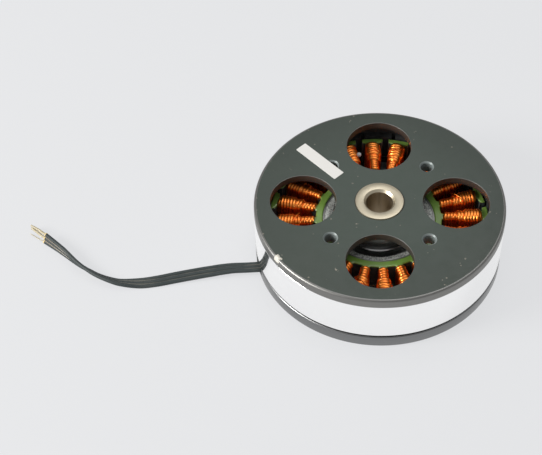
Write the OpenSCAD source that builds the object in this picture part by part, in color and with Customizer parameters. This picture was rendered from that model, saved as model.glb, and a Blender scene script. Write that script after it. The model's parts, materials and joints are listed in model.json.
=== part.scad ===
// Flat brushless outrunner motor with a hollow shaft.
// The stator (base, bearing housing, wound core) stands on the z = 0 plane and the can
// (cover, flux ring, magnets, shaft) turns round it about +Z. Sizes are in millimetres.

/* [Overall] */
// Outside diameter of the can and of the base
motor_d = 87; // [82:1:110]
// Height of the body, from the resting face to the top of the cover
motor_h = 25; // [24:0.5:36]
// Height of the base flange's rim
base_h = 5; // [4.5:0.1:6]
// Running gap between the base flange and the flux ring
running_gap = 1; // [0.5:0.1:1.4]

/* [Rotor cover] */
// Thickness of the cover's web
cover_t = 3; // [2:0.1:3.6]
// Depth of the cover's visible rim
cover_rim_h = 3.4; // [2.6:0.1:4.2]
// Chamfer on the cover's top edge
cover_chamfer = 0.9; // [0.3:0.1:1.4]
// Diameter of the round windows
window_d = 23; // [14:0.5:25]
// Diameter of the circle through the windows' centres
window_pcd = 52.8; // [48:0.2:56]
// Drill diameter of the tapped holes in the face
face_hole_d = 4.2; // [2.5:0.1:4.4]
// Diameter of those holes' chamfered mouths
face_hole_mouth_d = 5; // [4.4:0.1:5]
// Diameter of the circle through those holes' centres
face_hole_pcd = 47.2; // [44:0.2:52]
// Depth of the thread boss under each tapped hole
hole_boss_h = 1.6; // [0.5:0.1:1.8]
// Outside diameter of the cover's central boss
boss_d = 24; // [20:0.5:27]
// Depth of the boss below the web
boss_h = 1.4; // [0.8:0.1:1.6]

/* [Flux ring and magnets] */
// Wall of the flux ring
flux_ring_t = 2.2; // [1.4:0.1:3]
// Thickness of a magnet
magnet_t = 2.3; // [1.2:0.1:2.8]
// Number of magnets
magnet_count = 22; // [22:2:28]
// Gap between neighbouring magnets, in degrees
magnet_gap = 2; // [1:0.5:4]
// Air gap between the magnets and the teeth
air_gap = 0.5; // [0.3:0.1:0.8]

/* [Shaft] */
// Bore through the shaft
bore_d = 9.4; // [6:0.1:9.8]
// Outside diameter of the shaft in the bearings
shaft_d = 12; // [11.6:0.1:14.5]
// Diameter of the shaft's flange on the cover
shaft_flange_d = 16.8; // [16:0.1:18.5]
// Height that the flange stands above the cover
flange_proud = 0.4; // [0:0.1:0.8]
// Chamfer at the top mouth of the bore
bore_chamfer = 0.9; // [0.3:0.1:1.2]

/* [Bearings] */
// Outside diameter of a bearing
bearing_od = 21; // [20.5:0.1:25.5]
// Width of a bearing
bearing_w = 5; // [4.5:0.1:6]
// Diameter of a ball
ball_d = 2.38; // [1.9:0.01:2.5]
// Balls in a bearing
ball_count = 12; // [8:1:14]

/* [Stator] */
// Number of teeth, a multiple of six: two groups for each of three phases
tooth_count = 24; // [18:6:24]
// Bore of the stator core
core_bore_d = 38; // [37:0.5:39.5]
// Outside diameter of the core's yoke
yoke_d = 43.6; // [42:0.2:46]
// Width of a tooth's neck
neck_w = 1.8; // [1.2:0.1:2.2]
// Width of a tooth's tip
tip_w = 7.4; // [5:0.1:8.4]
// Radial thickness of a tooth's tip
tip_t = 1.9; // [1.2:0.1:2.4]
// Height of the lamination stack
stack_h = 9.6; // [8:0.1:11.6]
// Thickness of the green insulation on each end of the core
coat_t = 0.4; // [0.2:0.05:0.6]
// Angle from the first tooth to the row's X axis
stator_turn = 3.3; // [0:0.1:15]

/* [Windings] */
// Build of a coil beside the tooth, along its whole length
coil_side = 0.65; // [0.4:0.05:0.8]
// Build of a coil beside the tooth, on its outer part
coil_side_outer = 1.35; // [0.8:0.05:1.6]
// Build of a coil above and below the tooth, along its whole length
coil_end = 0.9; // [0.6:0.05:1.1]
// Build of a coil above and below the tooth, on its outer part
coil_end_outer = 1.6; // [1.2:0.05:1.7]
// Length of the inner part of a coil
coil_inner_len = 6; // [4:0.1:8]

/* [Base] */
// Thickness of the base's floor
floor_t = 2.4; // [2:0.1:2.8]
// Wall of the base's rim
rim_t = 4; // [3:0.1:4.2]
// Drill diameter of the tapped mounting holes in the base
base_hole_d = 2.5; // [2:0.1:3.4]
// Diameter of the circle through the mounting holes
base_hole_pcd = 60; // [54:1:66]
// Drill and thread diameter of the housing screws
housing_screw_d = 2.5; // [2:0.1:2.6]
// Head diameter of the housing screws
housing_screw_head_d = 4.6; // [4:0.1:4.8]
// Diameter of the circle through the housing screws
housing_screw_pcd = 30; // [29.6:0.1:30.2]

/* [Lead] */
// Diameter of one insulated core of the ribbon lead
lead_core_d = 1.4; // [1.1:0.05:1.7]
// Direction in which the lead leaves the base
lead_angle = 196; // [190:1:202]
// Diameter of the bare wire in a core
bare_d = 0.8; // [0.5:0.05:0.9]

/* [Hidden] */
$fn = 96;
cut = 1; // how far a cutting body runs past the face it cuts

// Quarter-turn pattern shared by the windows, the face holes and the base's screws
quarters = [0, 90, 180, 270];

// Radii of the can, from outside to inside
can_r = motor_d / 2;
ring_in_r = can_r - flux_ring_t;
magnet_in_r = ring_in_r - magnet_t;
tooth_r = magnet_in_r - air_gap;
spigot_t = 1.7;
spigot_h = 1.2;

// Heights of the can
ring_z = base_h + running_gap;
cover_rim_z = motor_h - cover_rim_h;
web_z = motor_h - cover_t;

// Stator core
core_z = floor_t + 4;
core_top = core_z + stack_h;
core_bore_r = core_bore_d / 2;
yoke_r = yoke_d / 2;
coat_side = 0.2;
shoe_in_r = tooth_r - tip_t;
tooth_pitch = 360 / tooth_count;

// Coils: each leaves a small clearance to the insulation
coil_clear = 0.05;
coil_start = yoke_r + coat_side + 0.2;
coil_stop = shoe_in_r - coat_side - 0.2;
coil_len = coil_stop - coil_start;
coil_hole_w = neck_w + 2 * (coat_side + coil_clear);
coil_hole_h = stack_h + 2 * (coat_t + coil_clear);
coil_mid_z = core_z + stack_h / 2;
coils_in_group = tooth_count / 6;

// Magnets
magnet_z = ring_z + 0.2;
magnet_len = stack_h + 0.8;
magnet_pitch = 360 / magnet_count;

// Shaft and bearings
shaft_r = shaft_d / 2;
bore_r = bore_d / 2;
bearing_r = bearing_od / 2;
pitch_r = (shaft_r + bearing_r) / 2;
ball_r = ball_d / 2;
land = 1; // from the balls' pitch circle to each ring's land
groove_clear = 0.03;
pocket_clear = 0.05;
cage_t = 1.1;
cage_h = ball_d + 0.8;
shield_t = 0.25;
shield_inset = 0.15;
shield_gap = 0.15;
shield_seat = 0.25;
neck_r = shaft_r + 1;
shim_t = 0.2;
neck_z = web_z - boss_h - 0.4;
upper_bearing_z = neck_z - shim_t - bearing_w;
lower_bearing_z = floor_t;
circlip_t = 1;
circlip_depth = 0.4;
circlip_r = shaft_r + 1.4;
shaft_bottom = floor_t - circlip_t - 0.8;
bottom_chamfer = 0.4;
flange_groove = 0.25;

// Bearing housing
housing_wall = 1.7;
housing_step = 1.2;
housing_top = upper_bearing_z + bearing_w;
housing_step_z = housing_top - 5.5;
housing_r = bearing_r + housing_wall;
housing_flange_h = 2;
shoulder_r = bearing_r - 1.4;
wave_t = 0.5;
wave_clear = 0.1;

// Stator support: a tube whose ledge carries the core
support_in_r = core_bore_r - 2.4;
support_ledge = 1.6;
support_top = core_top - 0.1;

// Base
base_hole_r = base_hole_d / 2;
base_bore_r = circlip_r + 0.8;
base_chamfer = 0.5;
base_edge = 0.3;
rim_in_r = can_r - rim_t;
screw_r = housing_screw_d / 2;
screw_head_h = (housing_screw_head_d - housing_screw_d) / 2;
screw_hole_clear = 0.1;

// Lead
core_places = [-1, 0, 1]; // the three cores, counted from the middle one
lead_pitch = lead_core_d + 0.05;
lead_w = 2 * lead_pitch + lead_core_d;
trough_z = 1.6;
trough_w = lead_w + 2.2;
trough_in_r = rim_in_r - 9.5;
grommet_drop = 0.4;
grommet_in_r = rim_in_r + 0.2;
grommet_out_r = can_r - 0.6;
splice_d = 1.6;
splice_len = 7;
splice_pitch = 2.1;

// Route of the lead: distance out from the can's side along lead_angle, distance to the left
// of that line, height under the ribbon, and tilt in degrees. At tilt 0 the ribbon lies flat;
// as it grows the ribbon's left edge lifts.
lead_route = [
    [-0.8, 0.2, 2, 0],
    [4.5, -0.9, 1.9, 0],
    [8.7, -1.9, 1.7, -2],
    [12.9, -2.5, 1.4, -7],
    [16.6, -2.9, 1, -11],
    [20.7, -3.3, 0.7, -13],
    [28.6, -3.8, 0.3, -14],
    [36, -4.2, 0, -10],
    [42, -5, 0, -1],
    [48.1, -6.4, 0, 24],
    [51.7, -8.2, 0, 38],
    [55.8, -11.3, 0, 50],
    [58.7, -14.4, 0, 58],
    [61.9, -18.3, 0, 72],
    [65.8, -24.6, 0, 93],
    [68.9, -29.2, 0, 104],
    [71.7, -33.2, 0, 117]
];
lead_steps = 3; // rings between two points of the route

// Where the three bare wires end, as distance out, distance to the left and height
bare_tips = [[76.8, -37.8, 0.5], [75.9, -39.4, 1.6], [75.8, -40, 2.6]];

// ---- shared shapes ----

// A tube between two radii and two heights
module tube(r_in, r_out, z0, z1) {
    rotate_extrude()
        translate([r_in, z0])
            square([r_out - r_in, z1 - z0]);
}

// A rod from one point to another
module rod(from, to, r) {
    d = to - from;
    translate(from)
        rotate([0, acos(d.z / norm(d)), atan2(d.y, d.x)])
            cylinder(h = norm(d), r = r, $fn = 32);
}

// Copies at four quarter turns, from a start angle, on a circle
module on_circle(pcd, start) {
    for (a = quarters)
        rotate(start + a)
            translate([pcd / 2, 0, 0])
                children();
}

// ---- base and housing ----

module base_profile() {
    polygon([
        [base_bore_r, 0],
        [can_r - base_chamfer, 0],
        [can_r, base_chamfer],
        [can_r, base_h - base_edge],
        [can_r - base_edge, base_h],
        [rim_in_r, base_h],
        [rim_in_r, floor_t],
        [base_bore_r, floor_t]
    ]);
}

// The trough for the lead, from under the coils out through the rim
module lead_trough() {
    rotate(lead_angle)
        translate([trough_in_r, -trough_w / 2, trough_z])
            cube([can_r - trough_in_r + cut, trough_w, base_h]);
}

module base_plate() {
    color("silver")
    difference() {
        rotate_extrude($fn = 180)
            base_profile();
        lead_trough();
        on_circle(base_hole_pcd, 45)
            translate([0, 0, -cut])
                cylinder(h = floor_t + 2 * cut, r = base_hole_r);
        on_circle(housing_screw_pcd, 0) {
            translate([0, 0, -cut])
                cylinder(h = floor_t + 2 * cut, r = screw_r + screw_hole_clear);
            translate([0, 0, -0.01])
                cylinder(h = screw_head_h, r1 = housing_screw_head_d / 2, r2 = screw_r);
        }
    }
}

module bearing_housing() {
    color("gainsboro")
    difference() {
        union() {
            tube(shoulder_r, housing_r, floor_t, housing_top);
            tube(shoulder_r, housing_r + housing_step, floor_t, housing_step_z);
            tube(shoulder_r, support_in_r, floor_t, floor_t + housing_flange_h);
        }
        tube(0, bearing_r, floor_t - cut, lower_bearing_z + bearing_w + wave_t + wave_clear);
        tube(0, bearing_r, upper_bearing_z, housing_top + cut);
        on_circle(housing_screw_pcd, 0)
            translate([0, 0, floor_t - cut])
                cylinder(h = housing_flange_h + 2 * cut, r = screw_r);
    }
}

module housing_screws() {
    color("dimgray")
    on_circle(housing_screw_pcd, 0)
        difference() {
            union() {
                cylinder(h = screw_head_h, r1 = housing_screw_head_d / 2 - 0.05, r2 = screw_r);
                cylinder(h = floor_t + housing_flange_h, r = screw_r);
            }
            translate([0, 0, -cut])
                cylinder(h = cut + 0.8, r = 0.8, $fn = 6);
        }
}

module stator_support() {
    color("darkgray")
    union() {
        tube(support_in_r, core_bore_r, floor_t, support_top);
        tube(support_in_r, core_bore_r + support_ledge, floor_t, core_z - coat_t);
    }
}

// ---- wound core ----

// Plan of the core, grown by a side allowance all round
module core_plan(grow) {
    difference() {
        union() {
            circle(r = yoke_r + grow);
            for (k = [0 : tooth_count - 1])
                rotate(k * tooth_pitch)
                    translate([yoke_r - 1, -neck_w / 2 - grow])
                        square([shoe_in_r - yoke_r + 1.5, neck_w + 2 * grow]);
            intersection() {
                difference() {
                    circle(r = tooth_r - grow / 2);
                    circle(r = shoe_in_r - grow);
                }
                for (k = [0 : tooth_count - 1])
                    rotate(k * tooth_pitch)
                        translate([0, -tip_w / 2 - grow])
                            square([can_r, tip_w + 2 * grow]);
            }
        }
        circle(r = core_bore_r);
    }
}

module core_slice(z0, h, grow) {
    translate([0, 0, z0])
        rotate(stator_turn)
            linear_extrude(height = h)
                core_plan(grow);
}

module stator_laminations() {
    color("slategray") core_slice(core_z, stack_h, 0);
}

module insulation_upper() {
    color("olivedrab") core_slice(core_top, coat_t, coat_side);
}

module insulation_lower() {
    color("olivedrab") core_slice(core_z - coat_t, coat_t, coat_side);
}

// Cross-section of a coil with its round corners, seen along the tooth
module coil_section(side, end) {
    w = coil_hole_w + 2 * side;
    h = coil_hole_h + 2 * end;
    c = min(side, end) * 1.3;
    difference() {
        union() {
            square([w - 2 * c, h], center = true);
            square([w, h - 2 * c], center = true);
            for (x = [-1, 1], y = [-1, 1])
                translate([x * (w / 2 - c), y * (h / 2 - c)])
                    circle(r = c, $fn = 32);
        }
        square([coil_hole_w, coil_hole_h], center = true);
    }
}

module coil() {
    translate([coil_start, 0, coil_mid_z])
        rotate([90, 0, 90]) {
            linear_extrude(height = coil_len)
                coil_section(coil_side, coil_end);
            translate([0, 0, coil_inner_len])
                linear_extrude(height = coil_len - coil_inner_len)
                    coil_section(coil_side_outer, coil_end_outer);
        }
}

// The coils of one phase: groups of neighbouring teeth, opposite each other
module winding(phase) {
    color("chocolate")
    for (half = [0, tooth_count / 2], k = [0 : coils_in_group - 1])
        rotate(stator_turn + (half + phase * coils_in_group + k) * tooth_pitch)
            coil();
}

module winding_phase_a() { winding(0); }
module winding_phase_b() { winding(1); }
module winding_phase_c() { winding(2); }

// Sleeved joint of the neutral ends, lying on the floor under the coils
module star_point_sleeve() {
    color("black")
    rotate(lead_angle - 60)
        translate([base_hole_pcd / 2, -splice_len / 2, floor_t + splice_d / 2])
            rotate([-90, 0, 0])
                cylinder(h = splice_len, r = splice_d / 2, $fn = 32);
}

// ---- lead ----

module lead_splices() {
    color("black")
    rotate(lead_angle)
        for (k = core_places)
            translate([grommet_in_r - splice_len, k * splice_pitch, trough_z + splice_d / 2 + 0.1])
                rotate([0, 90, 0])
                    cylinder(h = splice_len, r = splice_d / 2, $fn = 32);
}

module cord_grommet() {
    color("black")
    rotate(lead_angle)
        translate([grommet_in_r, -trough_w / 2, trough_z])
            cube([grommet_out_r - grommet_in_r, trough_w, base_h - trough_z - grommet_drop]);
}

// Height of the ribbon's centre when it rests on something at that tilt
function rest_height(tilt) =
    lead_core_d / 2 + (lead_w - lead_core_d) / 2 * abs(sin(tilt));

// Place of a point given as distance out from the can's side and distance to the left
function lead_plan(out, left) = [
    (can_r + out) * cos(lead_angle) - left * sin(lead_angle),
    (can_r + out) * sin(lead_angle) + left * cos(lead_angle)
];

// A smooth curve through the route's points
function route_at(i) =
    let(p = lead_route[max(0, min(len(lead_route) - 1, i))])
    [each lead_plan(p[0], p[1]), p[2] + rest_height(p[3]), p[3]];

function smooth(i, t) =
    let(a = route_at(i - 1), b = route_at(i), c = route_at(i + 1), d = route_at(i + 2))
    0.5 * (2 * b + (c - a) * t + (2 * a - 5 * b + 4 * c - d) * t * t
        + (3 * b - a - 3 * c + d) * t * t * t);

lead_path = [
    for (i = [0 : len(lead_route) - 2], s = [0 : lead_steps - 1]) smooth(i, s / lead_steps),
    route_at(len(lead_route) - 1)
];

function unit(v) = v / norm(v);
function spot(i) = [lead_path[i][0], lead_path[i][1], lead_path[i][2]];
function heading(i) =
    unit(spot(min(i + 1, len(lead_path) - 1)) - spot(max(i - 1, 0)));

// Directions across the ribbon's width and through its thickness
function flat_side(i) = unit(cross([0, 0, 1], heading(i)));
function across(i) =
    let(tilt = lead_path[i][3], side = flat_side(i), up = cross(heading(i), side))
    side * cos(tilt) + up * sin(tilt);
function through(i) = cross(heading(i), across(i));

// Eight-sided outline of the ribbon, with round ends
lead_outline = let(h = lead_core_d / 2, c = lead_w / 2 - h) [
    for (a = [-90, -30, 30, 90]) [c + h * cos(a), h * sin(a)],
    for (a = [90, 150, 210, 270]) [h * cos(a) - c, h * sin(a)]
];

module lead_cord() {
    n = len(lead_outline);
    rings = len(lead_path);
    points = [
        for (i = [0 : rings - 1], p = lead_outline)
            spot(i) + across(i) * p[0] + through(i) * p[1]
    ];
    walls = [
        for (i = [0 : rings - 2], j = [0 : n - 1])
            let(k = (j + 1) % n, a = i * n, b = (i + 1) * n)
            each [[a + j, b + j, b + k], [a + j, b + k, a + k]]
    ];
    start_cap = [[for (j = [0 : n - 1]) j]];
    end_cap = [[for (j = [n - 1 : -1 : 0]) (rings - 1) * n + j]];
    color("darkslategray")
        polyhedron(points = points, faces = concat(walls, start_cap, end_cap), convexity = 6);
}

module lead_bare_ends() {
    last = len(lead_path) - 1;
    color("khaki")
    for (k = core_places) {
        tip = bare_tips[k + 1];
        rod(spot(last) + across(last) * k * lead_pitch, [each lead_plan(tip[0], tip[1]), tip[2]],
            bare_d / 2);
    }
}

// ---- bearings ----

module bearing_outer_ring(z) {
    color("lightgray")
    translate([0, 0, z])
        rotate_extrude()
            difference() {
                translate([pitch_r + land, 0])
                    square([bearing_r - pitch_r - land, bearing_w]);
                translate([pitch_r, bearing_w / 2])
                    circle(r = ball_r + groove_clear);
                for (y = [-cut, bearing_w - shield_inset - shield_t])
                    translate([pitch_r, y])
                        square([land + shield_seat, cut + shield_inset + shield_t]);
            }
}

module bearing_inner_ring(z) {
    color("lightgray")
    translate([0, 0, z])
        rotate_extrude()
            difference() {
                translate([shaft_r, 0])
                    square([pitch_r - land - shaft_r, bearing_w]);
                translate([pitch_r, bearing_w / 2])
                    circle(r = ball_r + groove_clear);
            }
}

module bearing_balls(z) {
    color("white")
    for (k = [0 : ball_count - 1])
        rotate(k * 360 / ball_count)
            translate([pitch_r, 0, z + bearing_w / 2])
                sphere(r = ball_r, $fn = 32);
}

module bearing_cage(z) {
    mid = z + bearing_w / 2;
    color("peru")
    difference() {
        tube(pitch_r - cage_t / 2, pitch_r + cage_t / 2, mid - cage_h / 2, mid + cage_h / 2);
        for (k = [0 : ball_count - 1])
            rotate(k * 360 / ball_count)
                translate([pitch_r, 0, mid])
                    sphere(r = ball_r + pocket_clear, $fn = 32);
    }
}

module bearing_shields(z) {
    color("gray")
    for (y = [shield_inset, bearing_w - shield_inset - shield_t])
        tube(pitch_r - land + shield_gap, pitch_r + land + shield_seat, z + y, z + y + shield_t);
}

module upper_bearing_outer_ring() { bearing_outer_ring(upper_bearing_z); }
module upper_bearing_inner_ring() { bearing_inner_ring(upper_bearing_z); }
module upper_bearing_balls() { bearing_balls(upper_bearing_z); }
module upper_bearing_cage() { bearing_cage(upper_bearing_z); }
module upper_bearing_shields() { bearing_shields(upper_bearing_z); }
module lower_bearing_outer_ring() { bearing_outer_ring(lower_bearing_z); }
module lower_bearing_inner_ring() { bearing_inner_ring(lower_bearing_z); }
module lower_bearing_balls() { bearing_balls(lower_bearing_z); }
module lower_bearing_cage() { bearing_cage(lower_bearing_z); }
module lower_bearing_shields() { bearing_shields(lower_bearing_z); }

module wave_washer() {
    z = lower_bearing_z + bearing_w;
    color("gray") tube(shoulder_r, bearing_r - 0.1, z, z + wave_t);
}

// ---- rotor ----

module cover_profile() {
    counterbore_r = shaft_flange_d / 2 + flange_groove;
    polygon([
        [counterbore_r, motor_h],
        [can_r - cover_chamfer, motor_h],
        [can_r, motor_h - cover_chamfer],
        [can_r, cover_rim_z],
        [ring_in_r, cover_rim_z],
        [ring_in_r, cover_rim_z - spigot_h],
        [ring_in_r - spigot_t, cover_rim_z - spigot_h],
        [ring_in_r - spigot_t, web_z],
        [boss_d / 2, web_z],
        [boss_d / 2, web_z - boss_h],
        [neck_r, web_z - boss_h],
        [neck_r, web_z],
        [counterbore_r, web_z]
    ]);
}

module rotor_cover() {
    mouth_h = (face_hole_mouth_d - face_hole_d) / 2;
    hole_boss_wall = 2.1;
    color("dimgray")
    difference() {
        union() {
            rotate_extrude($fn = 180)
                cover_profile();
            on_circle(face_hole_pcd, 45)
                translate([0, 0, web_z - hole_boss_h])
                    cylinder(h = hole_boss_h + cover_t / 2, r = face_hole_d / 2 + hole_boss_wall);
        }
        on_circle(window_pcd, 0)
            translate([0, 0, web_z - boss_h - cut])
                cylinder(h = motor_h, r = window_d / 2);
        on_circle(face_hole_pcd, 45) {
            translate([0, 0, web_z - hole_boss_h - cut])
                cylinder(h = motor_h, r = face_hole_d / 2);
            translate([0, 0, motor_h - mouth_h])
                cylinder(h = mouth_h + 0.01, r1 = face_hole_d / 2, r2 = face_hole_mouth_d / 2);
        }
    }
}

module flux_ring() {
    color("whitesmoke")
    rotate_extrude($fn = 180)
        translate([ring_in_r, ring_z])
            square([flux_ring_t, cover_rim_z - ring_z]);
}

// Every second magnet, starting from the first or from the second
module magnets(first) {
    color("dimgray")
    for (k = [first : 2 : magnet_count - 1])
        rotate(k * magnet_pitch + magnet_gap / 2)
            rotate_extrude(angle = magnet_pitch - magnet_gap)
                translate([magnet_in_r, magnet_z])
                    square([magnet_t, magnet_len]);
}

module magnets_north() { magnets(0); }
module magnets_south() { magnets(1); }

module hollow_shaft() {
    top = motor_h + flange_proud;
    color("tan")
    rotate_extrude()
        polygon([
            [bore_r, shaft_bottom + bottom_chamfer],
            [bore_r + bottom_chamfer, shaft_bottom],
            [shaft_r, shaft_bottom],
            [shaft_r, lower_bearing_z - circlip_t],
            [shaft_r - circlip_depth, lower_bearing_z - circlip_t],
            [shaft_r - circlip_depth, lower_bearing_z],
            [shaft_r, lower_bearing_z],
            [shaft_r, neck_z],
            [neck_r, neck_z],
            [neck_r, web_z],
            [shaft_flange_d / 2, web_z],
            [shaft_flange_d / 2, top - 0.3],
            [shaft_flange_d / 2 - 0.3, top],
            [bore_r + bore_chamfer, top],
            [bore_r, top - bore_chamfer]
        ]);
}

module bearing_spacer() {
    color("silver")
    tube(shaft_r, shaft_r + land, lower_bearing_z + bearing_w, upper_bearing_z);
}

module shim_washer() {
    color("silver") tube(shaft_r, neck_r, neck_z - shim_t, neck_z);
}

module shaft_circlip() {
    color("dimgray")
    rotate(180)
        rotate_extrude(angle = 330)
            translate([shaft_r - circlip_depth, lower_bearing_z - circlip_t])
                square([circlip_r - shaft_r + circlip_depth, circlip_t]);
}

// Blank strip along the line of one face hole, which it half covers
module cover_label() {
    label_len = 19.7;
    label_w = 4.5;
    label_t = 0.1;
    label_r = face_hole_pcd / 2 + 4.4;
    label_offset = 1.7;
    color("white")
    rotate(135)
        translate([label_r - label_len / 2, label_offset - label_w / 2, motor_h])
            cube([label_len, label_w, label_t]);
}

// A dab of paint over the cover's top edge
module marker_dab() {
    dab_t = 0.3;
    reach = 1.6;
    c = cover_chamfer;
    color("ivory")
    rotate(215)
        rotate_extrude(angle = 4, $fn = 180)
            polygon([
                [can_r - c - reach, motor_h],
                [can_r - c, motor_h],
                [can_r, motor_h - c],
                [can_r, motor_h - c - reach / 2],
                [can_r + dab_t, motor_h - c - reach / 2],
                [can_r + dab_t, motor_h - c + dab_t],
                [can_r - c + dab_t, motor_h + dab_t],
                [can_r - c - reach, motor_h + dab_t]
            ]);
}

base_plate();
bearing_housing();
housing_screws();
stator_support();
stator_laminations();
insulation_upper();
insulation_lower();
winding_phase_a();
winding_phase_b();
winding_phase_c();
star_point_sleeve();
lead_splices();
cord_grommet();
lead_cord();
lead_bare_ends();
upper_bearing_outer_ring();
upper_bearing_shields();
lower_bearing_outer_ring();
lower_bearing_shields();
wave_washer();
rotor_cover();
flux_ring();
magnets_north();
magnets_south();
hollow_shaft();
upper_bearing_inner_ring();
lower_bearing_inner_ring();
bearing_spacer();
shim_washer();
shaft_circlip();
cover_label();
marker_dab();
upper_bearing_balls();
upper_bearing_cage();
lower_bearing_balls();
lower_bearing_cage();
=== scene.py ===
"""Looks of the flat outrunner motor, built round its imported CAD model. Lengths are in metres."""

import json
import math
import random

import bmesh
import bpy
from mathutils import Matrix, Vector

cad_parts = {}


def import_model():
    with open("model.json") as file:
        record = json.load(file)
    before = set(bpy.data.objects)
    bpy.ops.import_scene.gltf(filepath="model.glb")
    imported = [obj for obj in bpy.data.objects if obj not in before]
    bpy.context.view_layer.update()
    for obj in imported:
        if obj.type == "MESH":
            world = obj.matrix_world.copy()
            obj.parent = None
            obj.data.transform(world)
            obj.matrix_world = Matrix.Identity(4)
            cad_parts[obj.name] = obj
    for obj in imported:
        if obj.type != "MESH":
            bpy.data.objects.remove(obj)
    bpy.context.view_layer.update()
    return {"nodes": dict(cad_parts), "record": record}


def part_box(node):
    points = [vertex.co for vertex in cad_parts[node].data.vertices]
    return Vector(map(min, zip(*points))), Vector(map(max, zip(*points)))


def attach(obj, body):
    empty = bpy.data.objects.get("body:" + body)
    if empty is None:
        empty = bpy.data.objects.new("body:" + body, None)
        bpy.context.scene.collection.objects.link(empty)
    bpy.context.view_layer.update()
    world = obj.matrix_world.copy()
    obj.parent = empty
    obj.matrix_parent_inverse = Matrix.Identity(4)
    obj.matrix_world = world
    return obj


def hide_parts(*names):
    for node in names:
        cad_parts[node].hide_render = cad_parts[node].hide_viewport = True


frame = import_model()

MM = 0.001
TAU = 2 * math.pi

# ---------------------------------------------------------------- sizes taken from the frame


def low(node):
    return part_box(node)[0]


def high(node):
    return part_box(node)[1]


CAN_R = high("base_plate").x
COVER_TOP = high("cover_label").z - 0.1 * MM
RING_LOW = low("flux_ring").z
RING_TOP = high("flux_ring").z
BASE_TOP = high("base_plate").z
SHAFT_TOP = high("hollow_shaft").z
SHAFT_LOW = low("hollow_shaft").z
CORE_LOW = low("insulation_lower").z
CORE_TOP = high("insulation_upper").z
CORE_MID = (CORE_LOW + CORE_TOP) / 2
HOUSING_TOP = high("bearing_housing").z
SUPPORT_TOP = high("stator_support").z
FLOOR_TOP = low("bearing_housing").z
MOUNTS = {m["name"]: m for m in frame["record"]["mounts"]}
BORE_R = MOUNTS["shaft_bore"]["dims"]["r_mm"] * MM
FACE_HOLE_R = MOUNTS["face_holes"]["dims"]["hole_r_mm"] * MM
FACE_HOLE_AT = MOUNTS["face_holes"]["dims"]["pcd_mm"] * MM / 2
BASE_HOLE_R = MOUNTS["base_holes"]["dims"]["hole_r_mm"] * MM
BASE_HOLE_AT = MOUNTS["base_holes"]["dims"]["pcd_mm"] * MM / 2

# The same values as in the part's source
WINDOW_R = 11.5 * MM
WINDOW_AT = 26.4 * MM
WEB_LOW = COVER_TOP - 3 * MM
COVER_CHAMFER = 0.9 * MM
RING_IN_R = CAN_R - 2.2 * MM
BOSS_R = 12 * MM
BOSS_H = 1.4 * MM
FACE_MOUTH_R = 2.5 * MM
HOLE_BOSS_H = 1.6 * MM
HOLE_BOSS_WALL = 2.1 * MM
SPIGOT_T = 1.7 * MM
SPIGOT_H = 1.2 * MM
FLANGE_R = 8.4 * MM
FLANGE_GROOVE = 0.25 * MM
SHAFT_R = 6 * MM
NECK_R = 7 * MM
BEARING_R = 10.5 * MM
SHOULDER_R = 9.1 * MM
HOUSING_R = 12.2 * MM
HOUSING_STEP = 1.2 * MM
HOUSING_STEP_DOWN = 5.5 * MM
HOUSING_FLANGE = 2 * MM
SUPPORT_IN_R = 16.6 * MM
CORE_BORE_R = 19 * MM
SUPPORT_LEDGE = 1.6 * MM
RIM_IN_R = CAN_R - 4 * MM
BASE_BORE_R = 8.2 * MM
SCREW_AT = 15 * MM
TOOTH_COUNT = 24
TOOTH_TURN = math.radians(3.3)
YOKE_R = 22 * MM
NECK_HALF = 1.1 * MM
COAT_BORE_GAP = 0.55 * MM
COAT_EDGE_R = 0.42 * MM
SHOE_IN_R = 36.4 * MM
TOOTH_R = 38.4 * MM
SHOE_HALF = 3.9 * MM
LEAD_ANGLE = math.radians(196)
LEAD_CORE_D = 1.4 * MM
LEAD_PITCH = 1.45 * MM
QUARTERS = [k * TAU / 4 for k in range(4)]

# ---------------------------------------------------------------- camera and light


def camera():
    """A long lens, looking down at the cover with a small roll."""
    azimuth, elevation, roll = (math.radians(v) for v in (4.08, 49.66, -2.19))
    back = Vector((
        math.sin(azimuth) * math.cos(elevation),
        -math.cos(azimuth) * math.cos(elevation),
        math.sin(elevation),
    ))
    right = Vector((math.cos(azimuth), math.sin(azimuth), 0))
    up = back.cross(right)
    centre = Vector((0, 0, COVER_TOP))
    eye = centre + CAN_R * (11.316 * back - 0.869 * right - 0.174 * up)
    right_rolled = math.cos(roll) * right + math.sin(roll) * up
    up_rolled = math.cos(roll) * up - math.sin(roll) * right
    data = bpy.data.cameras.new("camera")
    data.lens = 94.66
    data.sensor_width = 36
    data.clip_start = 0.01
    data.clip_end = 50
    cam = bpy.data.objects.new("camera", data)
    turn = Matrix((right_rolled, up_rolled, back)).transposed().to_4x4()
    cam.matrix_world = Matrix.Translation(eye) @ turn
    bpy.context.scene.collection.objects.link(cam)
    bpy.context.scene.camera = cam


def area_lamp(name, place, size, power, colour=(1, 1, 1)):
    """A round lamp aimed at the middle of the motor."""
    aim = Vector((0, 0, 12 * MM))
    data = bpy.data.lights.new(name, "AREA")
    data.shape = "DISK"
    data.size = size
    data.energy = power
    data.color = colour
    lamp = bpy.data.objects.new(name, data)
    lamp.location = place
    lamp.rotation_mode = "QUATERNION"
    lamp.rotation_quaternion = (Vector(place) - aim).to_track_quat("Z", "Y")
    bpy.context.scene.collection.objects.link(lamp)


def socket_sum(nodes, links, names):
    """1 for the named kinds of ray, and 0 for the others."""
    path = nodes.new("ShaderNodeLightPath")
    total = None
    for name in names:
        if total is None:
            total = path.outputs[name]
            continue
        add = nodes.new("ShaderNodeMath")
        add.operation = "ADD"
        add.use_clamp = True
        links.new(total, add.inputs[0])
        links.new(path.outputs[name], add.inputs[1])
        total = add.outputs[0]
    return total


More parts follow.
